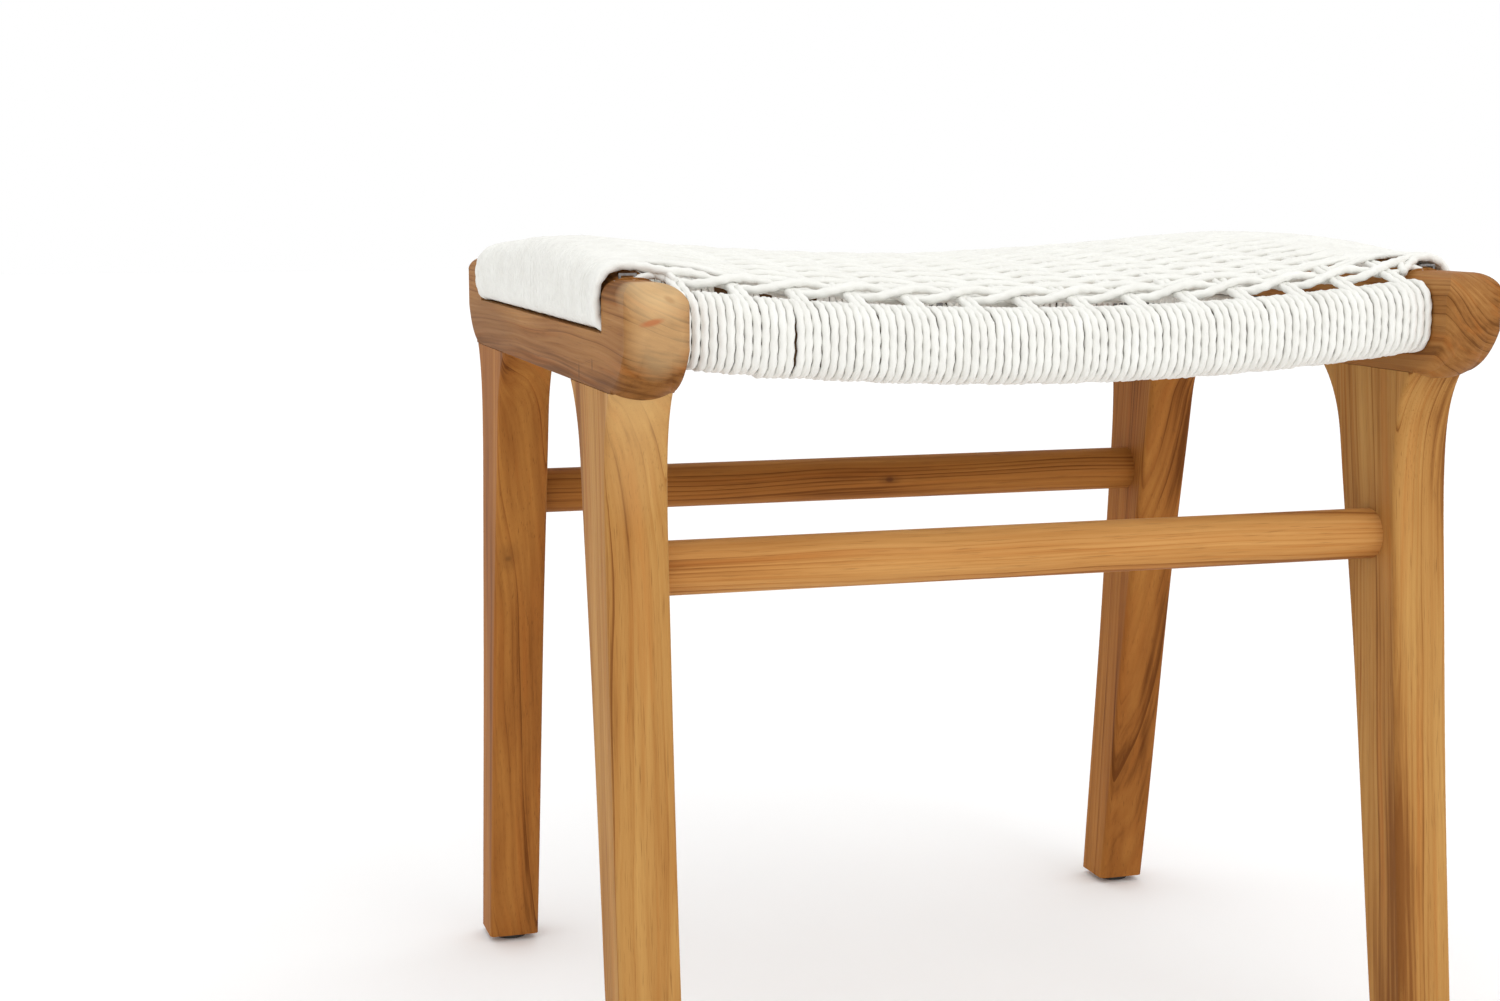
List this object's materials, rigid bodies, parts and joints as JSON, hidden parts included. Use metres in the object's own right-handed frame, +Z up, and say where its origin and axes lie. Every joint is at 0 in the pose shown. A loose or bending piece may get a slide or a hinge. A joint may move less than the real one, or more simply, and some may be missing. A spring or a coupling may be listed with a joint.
{
  "type": "woven stool",
  "caption": "Low wooden stool with a saddle seat woven from cord between four rails, on splayed board legs joined by round stretchers.",
  "frame": {"origin": "on the floor, under the middle of the stool", "axes": "+X along the stool from the left end to the right end, +Y from front to back, +Z up"},
  "size_m": [0.476, 0.442, 0.466],
  "materials": {
    "teak_rail": "oiled, satin",
    "teak_leg": "oiled, satin",
    "teak_stretcher": "oiled, satin",
    "dowel_wood": "oiled, satin",
    "cord": "twisted cord, matt",
    "steel": "plain wire nail",
    "glide_plastic": "matt"
  },
  "bodies": {
    "root": {"left_end_rail": "teak_rail", "right_end_rail": "teak_rail", "front_seat_rail": "teak_rail", "rear_seat_rail": "teak_rail", "front_left_leg": "teak_leg", "rear_left_leg": "teak_leg", "front_right_leg": "teak_leg", "rear_right_leg": "teak_leg", "front_stretcher": "teak_stretcher", "rear_stretcher": "teak_stretcher", "leg_dowels": "dowel_wood", "seat_rail_dowels": "dowel_wood", "seat_weave": "cord", "front_rail_wrap": "cord", "rear_rail_wrap": "cord", "left_rail_cords": "cord", "right_rail_cords": "cord", "front_edge_twine": "cord", "rear_edge_twine": "cord", "front_rail_nails": "steel", "rear_rail_nails": "steel", "left_rail_nails": "steel", "right_rail_nails": "steel", "cord_staples": "steel", "foot_glides": "glide_plastic", "glide_nails": "steel"}
  },
  "joints": []
}
